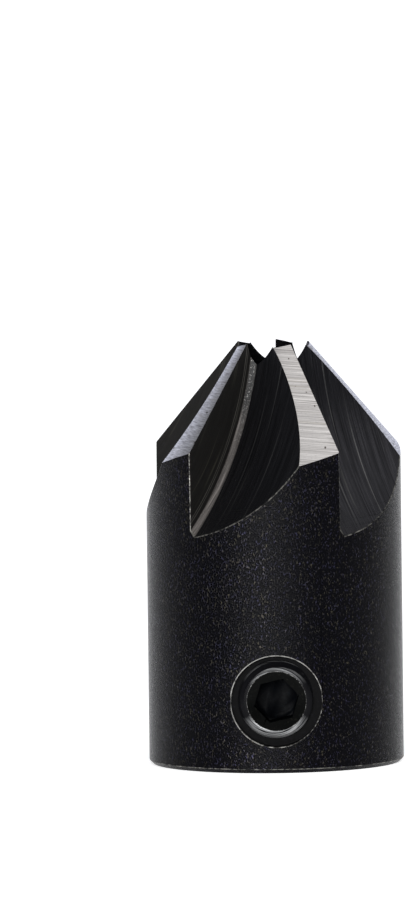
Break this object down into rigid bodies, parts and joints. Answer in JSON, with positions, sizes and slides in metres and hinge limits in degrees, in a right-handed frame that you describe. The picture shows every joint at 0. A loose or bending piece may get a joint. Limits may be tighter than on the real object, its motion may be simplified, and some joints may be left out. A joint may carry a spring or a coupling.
{
  "type": "drill countersink",
  "caption": "Slip-on countersink for a twist drill: a dark steel cylinder with relief-ground teeth and milled flutes, clamped to the drill by a recessed hex socket set screw.",
  "frame": {"origin": "centre of the flat rear face, which the tool stands on", "axes": "+Z along the bore towards the teeth; -Y out through the set screw; +X to the right as seen facing the screw"},
  "size_m": [0.016, 0.016, 0.0265],
  "materials": {
    "black_steel": "black oxide with bright ground lands",
    "screw_steel": "black oxide, worn bright on its chamfer"
  },
  "bodies": {
    "head": {"cutter_head": "black_steel"},
    "screw": {"set_screw": "screw_steel"}
  },
  "joints": [
    {"name": "screw_travel", "type": "slide", "parent": "head", "child": "screw", "axis": [0, 1, 0], "range_m": [-0.0032, 0.0032]}
  ]
}
